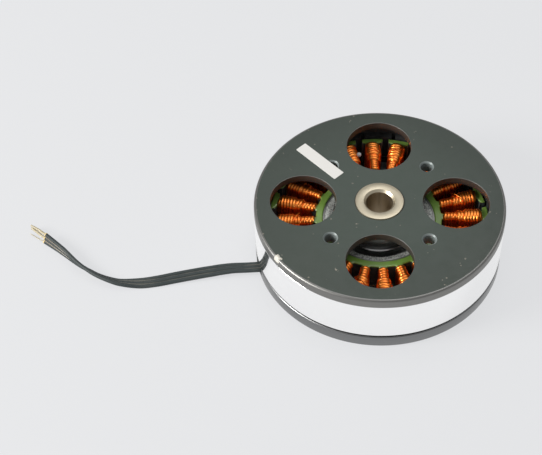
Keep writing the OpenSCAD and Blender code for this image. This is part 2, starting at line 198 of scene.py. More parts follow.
# What the camera sees behind the motor and on the floor, what bright metal mirrors of the floor,
# and the share of the floor's look that doesn't depend on the lamps
BACKDROP = (0.791, 0.799, 0.815, 1)
FLOOR_SEEN = (0.765, 0.773, 0.790, 1)
REFLECTED = (0.90, 0.905, 0.91, 1)
FLOOR_GLOW = 0.85


def world():
    """Even light from all round, and a plain backdrop for the camera."""
    made = bpy.data.worlds.new("studio")
    bpy.context.scene.world = made
    made.use_nodes = True
    nodes, links = made.node_tree.nodes, made.node_tree.links
    nodes.clear()
    light = nodes.new("ShaderNodeBackground")
    light.inputs["Color"].default_value = (1, 1, 1, 1)
    light.inputs["Strength"].default_value = 0.42
    shown = nodes.new("ShaderNodeBackground")
    shown.inputs["Color"].default_value = BACKDROP
    mix = nodes.new("ShaderNodeMixShader")
    out = nodes.new("ShaderNodeOutputWorld")
    seen = socket_sum(nodes, links, ["Is Camera Ray", "Is Transmission Ray"])
    links.new(seen, mix.inputs[0])
    links.new(light.outputs[0], mix.inputs[1])
    links.new(shown.outputs[0], mix.inputs[2])
    links.new(mix.outputs[0], out.inputs["Surface"])


def floor():
    """A wide matt plane whose look to the camera and in mirrors is mostly set, not lit."""
    size = 6
    mesh = bpy.data.meshes.new("floor")
    mesh.from_pydata(
        [(-size, -size, 0), (size, -size, 0), (size, size, 0), (-size, size, 0)], [], [(0, 1, 2, 3)]
    )
    plane = bpy.data.objects.new("floor", mesh)
    bpy.context.scene.collection.objects.link(plane)
    mat = bpy.data.materials.new("floor_white")
    mat.use_nodes = True
    nodes, links = mat.node_tree.nodes, mat.node_tree.links
    nodes.clear()
    matt = nodes.new("ShaderNodeBsdfDiffuse")
    matt.inputs["Color"].default_value = (0.75, 0.755, 0.765, 1)
    out = nodes.new("ShaderNodeOutputMaterial")
    surface = matt.outputs[0]
    for kind, colour in (("Is Camera Ray", FLOOR_SEEN), ("Is Glossy Ray", REFLECTED)):
        glow = nodes.new("ShaderNodeEmission")
        glow.inputs["Color"].default_value = colour
        share = nodes.new("ShaderNodeMath")
        share.operation = "MULTIPLY"
        share.inputs[1].default_value = FLOOR_GLOW
        mix = nodes.new("ShaderNodeMixShader")
        links.new(socket_sum(nodes, links, [kind]), share.inputs[0])
        links.new(share.outputs[0], mix.inputs[0])
        links.new(surface, mix.inputs[1])
        links.new(glow.outputs[0], mix.inputs[2])
        surface = mix.outputs[0]
    links.new(surface, out.inputs["Surface"])
    mesh.materials.append(mat)


def studio():
    scene = bpy.context.scene
    scene.view_settings.view_transform = "Standard"
    camera()
    world()
    floor()
    area_lamp("key", (-0.76, -0.25, 0.45), 0.36, 9.0, (1, 0.985, 0.96))
    area_lamp("top", (0.15, 0.25, 0.95), 0.9, 3.0)


# ---------------------------------------------------------------- materials


class Finish:
    """A material with a Principled shader and the nodes that vary it."""

    def __init__(self, name, colour, metallic=0.0, roughness=0.5, **sockets):
        self.mat = bpy.data.materials.new(name)
        self.mat.use_nodes = True
        self.nodes = self.mat.node_tree.nodes
        self.links = self.mat.node_tree.links
        self.shader = self.nodes["Principled BSDF"]
        self.colour = tuple(colour) + (1,)
        self.shader.inputs["Base Color"].default_value = self.colour
        self.shader.inputs["Metallic"].default_value = metallic
        self.shader.inputs["Roughness"].default_value = roughness
        for key, value in sockets.items():
            self.shader.inputs[key.replace("_", " ")].default_value = value
        self.place = self.nodes.new("ShaderNodeTexCoord").outputs["Object"]
        self.bumped = None

    def node(self, kind, **values):
        made = self.nodes.new(kind)
        for key, value in values.items():
            setattr(made, key, value)
        return made

    def math(self, operation, a, b=None):
        made = self.node("ShaderNodeMath", operation=operation)
        for socket, value in zip(made.inputs, (a, b)):
            if isinstance(value, (int, float)):
                socket.default_value = value
            elif value is not None:
                self.links.new(value, socket)
        return made.outputs[0]

    def noise(self, scale, detail=2.0, stretch=(1, 1, 1), place=None):
        """Noise whose grains are 1 / scale metres across."""
        mapping = self.node("ShaderNodeMapping")
        mapping.inputs["Scale"].default_value = stretch
        self.links.new(place or self.place, mapping.inputs["Vector"])
        made = self.node("ShaderNodeTexNoise")
        made.inputs["Scale"].default_value = scale
        made.inputs["Detail"].default_value = detail
        self.links.new(mapping.outputs[0], made.inputs["Vector"])
        return made.outputs[0]

    def axes(self):
        made = self.node("ShaderNodeSeparateXYZ")
        self.links.new(self.place, made.inputs[0])
        return made.outputs

    def radius(self):
        """Distance from the motor's axis."""
        x, y = self.axes()[:2]
        squares = self.math("MULTIPLY", x, x), self.math("MULTIPLY", y, y)
        return self.math("SQRT", self.math("ADD", *squares))

    def rings(self, scale):
        """Fine lines left by a lathe: noise that changes with the radius and the height."""
        joined = self.node("ShaderNodeCombineXYZ")
        self.links.new(self.radius(), joined.inputs[0])
        self.links.new(self.axes()[2], joined.inputs[2])
        return self.noise(scale, 3.0, place=joined.outputs[0])

    def waves(self, pitch):
        """A wave that runs up the motor's axis."""
        return self.math("SINE", self.math("MULTIPLY", self.axes()[2], TAU / pitch))

    def spread(self, value, low_in, high_in, low_out=0.0, high_out=1.0):
        """Stretches a range of the value over another range, and stops at its ends."""
        made = self.node("ShaderNodeMapRange")
        for socket, number in zip(list(made.inputs)[1:5], (low_in, high_in, low_out, high_out)):
            socket.default_value = number
        self.links.new(value, made.inputs[0])
        return made.outputs[0]

    def tint(self, value, other):
        """Mixes the colour so far towards another one where value is high."""
        mix = self.node("ShaderNodeMix", data_type="RGBA")
        self.links.new(value, mix.inputs[0])
        socket = self.shader.inputs["Base Color"]
        if socket.is_linked:
            self.links.new(socket.links[0].from_socket, mix.inputs[6])
        else:
            mix.inputs[6].default_value = self.colour
        mix.inputs[7].default_value = tuple(other) + (1,)
        self.links.new(mix.outputs[2], socket)
        return self

    def rough(self, value, low_out, high_out):
        """Lets the roughness follow a noise."""
        self.links.new(self.spread(value, 0.3, 0.7, low_out, high_out), self.shader.inputs["Roughness"])
        return self

    def bump(self, value, distance, strength):
        made = self.node("ShaderNodeBump")
        made.inputs["Distance"].default_value = distance
        made.inputs["Strength"].default_value = strength
        self.links.new(value, made.inputs["Height"])
        if self.bumped is not None:
            self.links.new(self.bumped, made.inputs["Normal"])
        self.bumped = made.outputs[0]
        self.links.new(self.bumped, self.shader.inputs["Normal"])
        return self


def cover_face_finish():
    """Dark grey matt anodised aluminium, with a little dust, and a painted sheen that makes it lighter
    towards the middle.
    """
    f = Finish("cover_anodised", (0.045, 0.061, 0.050), 0.0, 0.50)
    # Painted sheen: lighter near the middle, darker towards the rim.
    f.tint(f.spread(f.radius(), 0.018, 0.040), (0.035, 0.046, 0.038))
    f.tint(f.spread(f.noise(60, 3), 0.35, 0.7, 0, 0.5), (0.044, 0.056, 0.046))
    f.tint(f.spread(f.noise(5200, 2), 0.60, 0.80, 0, 0.4), (0.07, 0.085, 0.073))
    specks = f.spread(f.noise(700, 1), 0.735, 0.775)
    where = f.spread(f.noise(90, 2), 0.50, 0.56)
    f.tint(f.math("MULTIPLY", specks, where), (0.24, 0.22, 0.18))
    f.rough(f.noise(300, 3), 0.44, 0.58)
    f.bump(f.noise(6000, 2), 0.00002, 0.5)
    return f.mat


def cover_edge_finish():
    """The cover's turned edge: dark grey metal, half bright."""
    f = Finish("cover_edge", (0.21, 0.21, 0.205), 1.0, 0.42)
    f.tint(f.spread(f.rings(9000), 0.35, 0.65, 0, 0.6), (0.26, 0.255, 0.24))
    f.rough(f.rings(5000), 0.38, 0.48)
    f.bump(f.rings(12000), 0.00001, 0.6)
    return f.mat


def cut_wall_finish():
    """Walls of the windows: dark, slightly brown, half gloss, with painted shade that darkens them towards
    the bottom.
    """
    f = Finish("cover_cut_wall", (0.058, 0.050, 0.042), 0.3, 0.40)
    f.tint(f.spread(f.noise(500, 3), 0.45, 0.7), (0.074, 0.062, 0.050))
    # Painted shade: darker down the window walls, darkest on the cover's underside.
    f.tint(f.spread(f.axes()[2], COVER_TOP - 1.2 * MM, WEB_LOW, 0, 0.8), (0.014, 0.015, 0.016))
    f.tint(f.spread(f.noise(1900, 1), 0.765, 0.79), (0.45, 0.25, 0.10))
    f.bump(f.noise(3500, 2, (1, 1, 0.12)), 0.00003, 0.5)
    return f.mat


def hole_wall_finish():
    """Walls of the tapped holes, with the thread's fine grooves."""
    f = Finish("tapped_wall", (0.20, 0.23, 0.225), 0.2, 0.42)
    f.bump(f.waves(0.8 * MM), 0.0001, 0.6)
    return f.mat


def ring_finish():
    f = Finish("ring_polished", (0.93, 0.93, 0.935), 1.0, 0.09)
    f.rough(f.rings(7000), 0.07, 0.13)
    f.bump(f.rings(2500), 0.000003, 0.3)
    return f.mat


def base_finish():
    f = Finish("base_alloy", (0.19, 0.195, 0.20), 1.0, 0.33)
    f.tint(f.spread(f.rings(7000), 0.35, 0.65, 0, 0.7), (0.24, 0.24, 0.24))
    f.rough(f.rings(4200), 0.28, 0.38)
    f.bump(f.rings(9000), 0.00001, 0.6)
    return f.mat


def shaft_finish():
    f = Finish("shaft_stainless", (0.57, 0.51, 0.385), 1.0, 0.40)
    f.tint(f.spread(f.rings(1500), 0.35, 0.65, 0, 0.4), (0.64, 0.58, 0.46))
    f.tint(f.spread(f.noise(420, 3), 0.55, 0.75, 0, 0.4), (0.49, 0.43, 0.31))
    f.rough(f.rings(6000), 0.34, 0.46)
    f.bump(f.rings(7500), 0.000008, 0.6)
    return f.mat


def bore_finish():
    f = Finish("shaft_bore", (0.50, 0.42, 0.31), 1.0, 0.42)
    f.tint(f.spread(f.noise(700, 3, (1, 1, 0.1)), 0.4, 0.7, 0, 0.6), (0.34, 0.28, 0.20))
    f.bump(f.rings(6000), 0.00001, 0.6)
    return f.mat


def epoxy_finish():
    f = Finish("green_epoxy", (0.155, 0.27, 0.05), 0.0, 0.30)
    f.shader.inputs["Coat Weight"].default_value = 1.0
    f.shader.inputs["Coat Roughness"].default_value = 0.06
    f.tint(f.spread(f.noise(380, 3), 0.4, 0.7), (0.17, 0.31, 0.06))
    f.bump(f.noise(500, 2), 0.00012, 0.5)
    return f.mat


def copper_finish():
    """Enamelled wire, with a few darker turns."""
    f = Finish("copper_wire", (1.0, 0.265, 0.036), 1.0, 0.36)
    f.shader.inputs["Coat Weight"].default_value = 0.35
    f.shader.inputs["Coat Roughness"].default_value = 0.18
    f.tint(f.spread(f.noise(300, 2), 0.42, 0.66), (1.0, 0.33, 0.055))
    f.tint(f.spread(f.noise(420, 2), 0.64, 0.78, 0, 0.6), (0.60, 0.15, 0.03))
    return f.mat


def lead_finish():
    f = Finish("lead_jacket", (0.030, 0.039, 0.040), 0.0, 0.55)
    f.shader.inputs["Specular IOR Level"].default_value = 0.35
    f.tint(f.spread(f.noise(120, 3), 0.45, 0.7, 0, 0.6), (0.046, 0.054, 0.052))
    f.rough(f.noise(150, 3), 0.50, 0.60)
    f.bump(f.noise(500, 2), 0.00001, 0.3)
    return f.mat


def seam_finish():
    """The valleys between the cores, with painted highlights: pale streaks here and there, paler still
    towards the cut end.
    """
    f = Finish("lead_seam", (0.045, 0.052, 0.050), 0.0, 0.45)
    # Painted highlight: pale streaks along the valleys, and a cream tone near the cut end.
    f.tint(f.spread(f.noise(55, 2), 0.50, 0.62), (0.13, 0.13, 0.115))
    f.tint(f.spread(f.radius(), 2.1 * CAN_R, 2.5 * CAN_R), (0.26, 0.225, 0.175))
    return f.mat


def cut_end_finish():
    f = Finish("lead_cut_end", (0.66, 0.50, 0.20), 0.0, 0.45)
    f.tint(f.spread(f.noise(1500, 2), 0.45, 0.7), (0.50, 0.36, 0.14))
    return f.mat


def wire_finish():
    f = Finish("tinned_wire", (0.42, 0.375, 0.265), 0.2, 0.5)
    f.tint(f.spread(f.noise(900, 2), 0.45, 0.7), (0.38, 0.32, 0.19))
    f.bump(f.noise(2000, 2), 0.00001, 0.4)
    return f.mat


def label_finish():
    f = Finish("label_white", (0.68, 0.673, 0.645), 0.0, 0.55)
    f.tint(f.spread(f.noise(700, 4), 0.55, 0.8, 0, 0.5), (0.63, 0.62, 0.58))
    f.bump(f.noise(4000, 3), 0.00002, 0.4)
    return f.mat


def dab_finish():
    f = Finish("dab_white", (0.60, 0.575, 0.51), 0.0, 0.48)
    f.tint(f.spread(f.noise(900, 3), 0.45, 0.7), (0.50, 0.47, 0.40))
    f.bump(f.noise(1600, 3), 0.0001, 0.6)
    return f.mat


def steel_finish(name, colour, roughness):
    """Turned or ground metal."""
    lines = 5000
    f = Finish(name, colour, 1.0, roughness)
    darker = tuple(0.8 * c for c in colour)
    f.tint(f.spread(f.rings(lines), 0.35, 0.65), darker)
    f.rough(f.rings(lines * 0.7), roughness * 0.8, roughness * 1.25)
    f.bump(f.rings(lines * 1.3), 0.00001, 0.6)
    return f.mat


def plain_finish(name, colour, roughness):
    """A paint, a rubber, a resin or a painted shade, with slightly lighter patches."""
    f = Finish(name, colour, 0.0, roughness)
    f.tint(f.spread(f.noise(700, 3), 0.45, 0.7), tuple(1.6 * c for c in colour))
    f.bump(f.noise(2500, 2), 0.00003, 0.4)
    return f.mat


def lamination_finish():
    """Edge of the sheet stack: thin dark lines between the sheets."""
    f = Finish("core_steel", (0.30, 0.30, 0.29), 0.8, 0.42)
    sheets = f.waves(0.35 * MM)
    f.tint(f.spread(sheets, 0.2, 1.0), (0.09, 0.085, 0.08))
    f.bump(sheets, 0.00004, 0.5)
    return f.mat


def support_finish():
    """Rough grey metal with short radial tool marks."""
    f = Finish("support_metal", (0.66, 0.68, 0.64), 0.4, 0.42)
    f.tint(f.spread(f.noise(1500, 3), 0.45, 0.60), (0.27, 0.29, 0.28))
    f.bump(f.noise(1500, 4), 0.00025, 0.8)
    return f.mat


# ---------------------------------------------------------------- mesh helpers


def piece(name, verts, faces, mats, body, slot=None, nodes=(), sharp=30, indices=None):
    """A mesh object that rides on a body and stands for CAD nodes."""
    mesh = bpy.data.meshes.new(name)
    mesh.from_pydata([tuple(v) for v in verts], [], faces)
    for mat in mats if isinstance(mats, (list, tuple)) else [mats]:
        mesh.materials.append(mat)
    if indices:
        for polygon, index in zip(mesh.polygons, indices):
            polygon.material_index = index
    return place(name, mesh, body, slot, nodes, sharp)


def shade(mesh, sharp):
    """Smooth shading that breaks at edges sharper than an angle in degrees."""
    mesh.polygons.foreach_set("use_smooth", [True] * len(mesh.polygons))
    mesh.set_sharp_from_angle(angle=math.radians(sharp))


def place(name, mesh, body, slot=None, nodes=(), sharp=30):
    """Puts a mesh in the scene with its faces turned outwards, rides it on its body and hides the CAD nodes
    it stands for.
    """
    made = bpy.data.objects.new(name, mesh)
    bpy.context.scene.collection.objects.link(made)
    clean = bmesh.new()
    clean.from_mesh(mesh)
    bmesh.ops.recalc_face_normals(clean, faces=clean.faces)
    clean.to_mesh(mesh)
    clean.free()
    shade(mesh, sharp)
    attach(made, body)
    if nodes:
        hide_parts(*nodes)
    return made


class Build:
    """Vertices and faces gathered from several shapes, each face with a material's index."""

    def __init__(self):
        self.verts = []
        self.faces = []
        self.indices = []

    def add(self, verts, faces, index=0):
        start = len(self.verts)
        self.verts += [tuple(v) for v in verts]
        self.faces += [tuple(start + i for i in f) for f in faces]
        self.indices += [index] * len(faces)

    def loops(self, rings, closed_across=True, closed_along=False, index=0):
        """Skins a list of rings, each a list of points."""
        n = len(rings[0])
        verts = [p for ring in rings for p in ring]
        faces = []
        for i in range(len(rings) - (0 if closed_along else 1)):
            for j in range(n if closed_across else n - 1):
                a, b = i * n, (i + 1) % len(rings) * n
                k = (j + 1) % n
                faces.append((a + j, b + j, b + k, a + k))
        self.add(verts, faces, index)

    def lathe(self, profile, segments):
        """Turns a closed profile of (radius, height) points round the motor's axis."""
        rings = []
        for s in range(segments):
            a = s * TAU / segments
            rings.append([(r * math.cos(a), r * math.sin(a), z) for r, z in profile])
        self.loops(rings, True, True)

    def piece(self, name, mats, body, slot=None, nodes=(), sharp=30):
        return piece(name, self.verts, self.faces, mats, body, slot, nodes, sharp, self.indices)


def soften(profile, radius, steps=3):
    """Rounds every corner of a closed profile, by less where an edge is short."""
    out = []
    for i, corner in enumerate(profile):
        here = Vector(corner)
        before = Vector(profile[i - 1]) - here
        after = Vector(profile[(i + 1) % len(profile)]) - here
        cut = min(radius, 0.4 * before.length, 0.4 * after.length)
        start, end = here + before.normalized() * cut, here + after.normalized() * cut
        for s in range(steps + 1):
            t = s / steps
            out.append(tuple((1 - t) ** 2 * start + 2 * t * (1 - t) * here + t * t * end))
    return out


def circle(centre, radius, z, n):
    return [
        (centre[0] + radius * math.cos(k * TAU / n), centre[1] + radius * math.sin(k * TAU / n), z)
        for k in range(n)
    ]


def polar(radius, angle):
    return (radius * math.cos(angle), radius * math.sin(angle))


def turned(points, turn):
    """Points in plan, turned round the motor's axis."""
    c, s = math.cos(turn), math.sin(turn)
    return [(x * c - y * s, x * s + y * c) for x, y in points]


def filled(build, rims, index=0):
    """Fills the flat region between closed rims with triangles."""
    flat = bmesh.new()
    for rim in rims:
        corners = [flat.verts.new(p) for p in rim]
        for a, b in zip(corners, corners[1:] + corners[:1]):
            flat.edges.new((a, b))
    bmesh.ops.triangle_fill(flat, edges=flat.edges[:], use_beauty=True)
    flat.verts.index_update()
    verts = [v.co.copy() for v in flat.verts]
    faces = [[v.index for v in f.verts] for f in flat.faces]
    flat.free()
    build.add(verts, faces, index)


def curve_plate(name, outlines, low_z, high_z, bevel):
    """A flat plate with round edges, from closed outlines in plan: the first outside, the rest holes."""
    curve = bpy.data.curves.new(name, "CURVE")
    curve.dimensions = "2D"
    curve.fill_mode = "BOTH"
    for outline in outlines:
        spline = curve.splines.new("POLY")
        spline.points.add(len(outline) - 1)
        for point, (x, y) in zip(spline.points, outline):
            point.co = (x, y, 0, 1)
        spline.use_cyclic_u = True
    curve.bevel_depth = bevel
    curve.bevel_resolution = 2
    curve.offset = -bevel
    curve.extrude = (high_z - low_z) / 2 - bevel
    holder = bpy.data.objects.new(name, curve)
    mesh = bpy.data.meshes.new_from_object(holder)
    bpy.data.objects.remove(holder)
    bpy.data.curves.remove(curve)
    mesh.transform(Matrix.Translation((0, 0, (low_z + high_z) / 2)))
    return mesh


# ---------------------------------------------------------------- rotor


def rotor_cover():
    """The disc with its four windows and four tapped holes, every edge broken."""
    build = Build()
    face, edge, wall, tapped = 0, 1, 2, 3
    around, big, small = 288, 96, 48
    edge_break = 0.14 * MM
    seat_r = FLANGE_R + 0.3 * FLANGE_GROOVE
    hole_boss_r = FACE_HOLE_R + HOLE_BOSS_WALL
    top_rims = [circle((0, 0), CAN_R - COVER_CHAMFER, COVER_TOP, around)]
    low_rims = [circle((0, 0), RING_IN_R - SPIGOT_T, WEB_LOW, around)]
    top_rims.append(circle((0, 0), seat_r + 0.1 * MM, COVER_TOP, big))
    low_rims.append(circle((0, 0), BOSS_R, WEB_LOW, big))
    for q in QUARTERS:
        centre = polar(WINDOW_AT, q)
        steps = [
            (WINDOW_R + edge_break, COVER_TOP),
            (WINDOW_R + 0.3 * edge_break, COVER_TOP - 0.4 * edge_break),
            (WINDOW_R, COVER_TOP - edge_break),
            (WINDOW_R, WEB_LOW + edge_break),
            (WINDOW_R + edge_break, WEB_LOW),
        ]
        rings = [circle(centre, r, z, big) for r, z in steps]
        build.loops(rings[:3], index=edge)
        build.loops(rings[2:], index=wall)
        top_rims.append(rings[0])
        low_rims.append(rings[-1])
        centre = polar(FACE_HOLE_AT, q + TAU / 8)
        steps = [
            (FACE_MOUTH_R + 0.08 * MM, COVER_TOP),
            (FACE_MOUTH_R, COVER_TOP - 0.05 * MM),
            (FACE_HOLE_R, COVER_TOP - (FACE_MOUTH_R - FACE_HOLE_R)),
            (FACE_HOLE_R, WEB_LOW - HOLE_BOSS_H),
            (hole_boss_r, WEB_LOW - HOLE_BOSS_H),
            (hole_boss_r, WEB_LOW),
        ]
        rings = [circle(centre, r, z, small) for r, z in steps]
        build.loops(rings[:4], index=tapped)
        build.loops(rings[3:], index=wall)
        top_rims.append(rings[0])
        low_rims.append(rings[-1])
    filled(build, top_rims, face)
    filled(build, low_rims, wall)
    seat = [
        circle((0, 0), seat_r + 0.1 * MM, COVER_TOP, big),
        circle((0, 0), seat_r, COVER_TOP - 0.1 * MM, big),
        circle((0, 0), seat_r, WEB_LOW, big),
        circle((0, 0), NECK_R, WEB_LOW, big),
        circle((0, 0), NECK_R, WEB_LOW - BOSS_H, big),
        circle((0, 0), BOSS_R, WEB_LOW - BOSS_H, big),
        circle((0, 0), BOSS_R, WEB_LOW, big),
    ]
    build.loops(seat, index=wall)
    rim_low = RING_TOP
    turns = [k / 8 * TAU / 4 for k in range(9)]
    rim = [
        (CAN_R - COVER_CHAMFER * (1 - math.sin(t)), COVER_TOP - COVER_CHAMFER * (1 - math.cos(t)))
        for t in turns
    ] + [
        (CAN_R, rim_low + 0.15 * MM),
        (CAN_R - 0.15 * MM, rim_low),
        (RING_IN_R, rim_low),
        (RING_IN_R, rim_low - SPIGOT_H),
        (RING_IN_R - SPIGOT_T, rim_low - SPIGOT_H),
        (RING_IN_R - SPIGOT_T, WEB_LOW),
    ]
    build.loops([circle((0, 0), r, z, around) for r, z in rim], index=edge)
    mats = [cover_face_finish(), cover_edge_finish(), cut_wall_finish(), hole_wall_finish()]
    made = build.piece("cover_shell", mats, "rotor", "cover_anodised", ["rotor_cover"], 25)
    weld(made, 0.01 * MM)


def weld(made, distance, sharp=25):
    """Joins the points that shapes share, so that shading runs over the joins."""
    mesh = bmesh.new()
    mesh.from_mesh(made.data)
    bmesh.ops.remove_doubles(mesh, verts=mesh.verts, dist=distance)
    bmesh.ops.recalc_face_normals(mesh, faces=mesh.faces)
    mesh.to_mesh(made.data)
    mesh.free()
    shade(made.data, sharp)


def flux_ring():
    build = Build()
    profile = [(RING_IN_R, RING_LOW), (CAN_R, RING_LOW), (CAN_R, RING_TOP), (RING_IN_R, RING_TOP)]
    build.lathe(soften(profile, 0.22 * MM, 4), 288)
    # The inner face of the polished ring is painted dark as shade.
    mats = [ring_finish(), plain_finish("ring_inner_face_painted_shade", (0.030, 0.031, 0.031), 0.5)]
    made = build.piece("polished_flux_ring", mats, "rotor", "ring_polished", ["flux_ring"])
    for polygon in made.data.polygons:
        if polygon.center.xy.length < RING_IN_R + 0.3 * MM:
            polygon.material_index = 1


def hollow_shaft():
    build = Build()
    neck_z = WEB_LOW - BOSS_H - 0.4 * MM
    groove_low, groove_top = low("shaft_circlip").z, high("shaft_circlip").z
    groove_r = SHAFT_R - 0.4 * MM
    chamfer = 0.9 * MM
    outside = [
        (BORE_R, SHAFT_TOP - chamfer),
        (BORE_R + 0.8 * chamfer, SHAFT_TOP - 0.08 * MM),
        (BORE_R + 1.05 * chamfer, SHAFT_TOP),
        (FLANGE_R - 0.35 * MM, SHAFT_TOP),
        (FLANGE_R - 0.1 * MM, SHAFT_TOP - 0.08 * MM),
        (FLANGE_R, SHAFT_TOP - 0.32 * MM),
        (FLANGE_R, WEB_LOW),
        (NECK_R, WEB_LOW),
        (NECK_R, neck_z),
        (SHAFT_R, neck_z),
        (SHAFT_R, groove_top),
        (groove_r, groove_top),
        (groove_r, groove_low),
        (SHAFT_R, groove_low),
        (SHAFT_R, SHAFT_LOW),
        (BORE_R + 0.4 * MM, SHAFT_LOW),
        (BORE_R, SHAFT_LOW + 0.4 * MM),
    ]
    rings = [circle((0, 0), r, z, 160) for r, z in outside]
    build.loops(rings, index=0)
    build.loops([rings[-1], rings[0]], index=1)
    mats = [shaft_finish(), bore_finish()]
    made = build.piece("hollow_shaft_turned", mats, "rotor", "shaft_stainless", ["hollow_shaft"])
    weld(made, 0.01 * MM)


def cover_label():
    """A thin strip with round corners, stuck across the edge of one hole."""
    length, width, thick = 19.7 * MM, 4.5 * MM, 0.1 * MM
    middle, aside = FACE_HOLE_AT + 4.4 * MM, 1.7 * MM
    corner, steps = 0.25 * MM, 5
    outline = []
    for sx, sy, start in ((1, 1, 0), (-1, 1, 1), (-1, -1, 2), (1, -1, 3)):
        for s in range(steps + 1):
            a = (start + s / steps) * TAU / 4
            outline.append((
                middle + sx * (length / 2 - corner) + corner * math.cos(a),
                aside + sy * (width / 2 - corner) + corner * math.sin(a),
            ))
    outline = turned(outline, 3 * TAU / 8)
    mesh = curve_plate("white_strip", [outline], COVER_TOP + 0.01 * MM, COVER_TOP + thick, 0.02 * MM)
    mesh.materials.append(label_finish())
    place("white_strip", mesh, "rotor", "label_white", ["cover_label"])


def marker_dab():
    """A dried blob of paint that laps over the cover's top edge."""
    build = Build()
    rng = random.Random(7)
    middle = math.radians(217)
    half_angle, across, along = math.radians(2.5), 14, 18
    reach = 2.7 * MM
    phase = [rng.uniform(0, TAU) for _ in range(4)]
    rings = []
    for i in range(across + 1):
        u = -1 + 2 * i / across
        ring = []
        for j in range(along + 1):
            v = -1 + 2 * j / along
            wobble = 1 + 0.12 * math.sin(5 * u + phase[0]) + 0.1 * math.sin(7 * v + phase[1])
            angle = middle + half_angle * u * wobble * math.sqrt(max(0.02, 1 - 0.5 * v * v))
            way = v * reach * (1 + 0.1 * math.sin(4 * u + phase[2])) / 2
            if way < 0:
                r, z = CAN_R - COVER_CHAMFER * 0.5 + way, COVER_TOP
                lift = (0.0, 1.0)
            else:
                r, z = CAN_R, COVER_TOP - COVER_CHAMFER * 0.5 - way
                lift = (1.0, 0.0)
            edge = min(1.0, abs(way) / (0.6 * MM))
            lean = Vector((0.7, 0.7)).lerp(Vector(lift), edge).normalized()
            bulge = max(0.0, 1 - u ** 4) * max(0.0, 1 - v ** 4)
            out = (0.32 + 0.1 * math.sin(9 * u * v + phase[3])) * MM * bulge - 0.12 * MM
            inset = (1 - edge) * 0.18 * MM
            r += lean.x * out - inset
            z += lean.y * out - inset
            ring.append((r * math.cos(angle), r * math.sin(angle), z))
        rings.append(ring)
    build.loops(rings, False)
    build.piece("paint_dab", dab_finish(), "rotor", "dab_white", ["marker_dab"], 60)


# ---------------------------------------------------------------- stator


def base_plate():
    """The dish with its raised rim, its screw holes and the lead's notch."""
    build = Build()
    profile = [
        (BASE_BORE_R, 0),
        (CAN_R - 0.5 * MM, 0),
        (CAN_R, 0.5 * MM),
        (CAN_R, BASE_TOP - 0.3 * MM),
        (CAN_R - 0.3 * MM, BASE_TOP),
        (RIM_IN_R, BASE_TOP),
        (RIM_IN_R, FLOOR_TOP),
        (BASE_BORE_R, FLOOR_TOP),
    ]
    build.lathe(soften(profile, 0.12 * MM, 2), 256)
    made = build.piece("base_flange", base_finish(), "stator", "base_alloy", ["base_plate"], 25)
    edge_break = 0.3 * MM
    cutters = [notch_cutter()]
    for q in QUARTERS:
        hole = polar(BASE_HOLE_AT, q + TAU / 8)
        cutters.append(rod_cutter(hole, BASE_HOLE_R, BASE_HOLE_R, FLOOR_TOP * 2))
        cutters.append(rod_cutter(hole, BASE_HOLE_R + edge_break, BASE_HOLE_R, edge_break))
        cutters.append(rod_cutter(polar(SCREW_AT, q), 2.3 * MM, 1.3 * MM, 1.05 * MM))
    for cutter in cutters:
        carve(made, cutter)
    shade(made.data, 25)


def notch_cutter():
    """The notch that the lead leaves through."""
    half, inner, outer = 3.25 * MM, RIM_IN_R - 9.5 * MM, CAN_R + 1 * MM
    plan = [(inner, -half), (outer, -half), (outer, half), (inner, half)]
    corners = [(x, y, z) for z in (1.6 * MM, BASE_TOP + 1 * MM) for x, y in plan]
    turn = Matrix.Rotation(LEAD_ANGLE, 3, "Z")
    faces = [(3, 2, 1, 0), (4, 5, 6, 7), (0, 1, 5, 4), (1, 2, 6, 5), (2, 3, 7, 6), (3, 0, 4, 7)]
    return cutter_object([turn @ Vector(c) for c in corners], faces)


def rod_cutter(centre, r_low, r_high, height):
    """A round or tapered hole from just under the floor up to a height."""
    n = 48
    start = -0.05 * MM
    verts = circle(centre, r_low, start, n) + circle(centre, r_high, height, n)
    faces = [tuple(reversed(range(n))), tuple(range(n, 2 * n))]
    faces += [(k, (k + 1) % n, n + (k + 1) % n, n + k) for k in range(n)]
    return cutter_object(verts, faces)


def cutter_object(verts, faces):
    mesh = bpy.data.meshes.new("cutter")
    mesh.from_pydata([tuple(v) for v in verts], [], faces)
    made = bpy.data.objects.new("cutter", mesh)
    bpy.context.scene.collection.objects.link(made)
    return made


def carve(target, cutter):
    """Takes the cutter's volume out of the target, for good."""
    modifier = target.modifiers.new("cut", "BOOLEAN")
    modifier.operation = "DIFFERENCE"
    modifier.solver = "EXACT"
    modifier.object = cutter
    bpy.context.view_layer.update()
    graph = bpy.context.evaluated_depsgraph_get()
    result = bpy.data.meshes.new_from_object(target.evaluated_get(graph))
    target.modifiers.clear()
    old = target.data
    target.data = result
    bpy.data.meshes.remove(old)
    bpy.data.objects.remove(cutter)


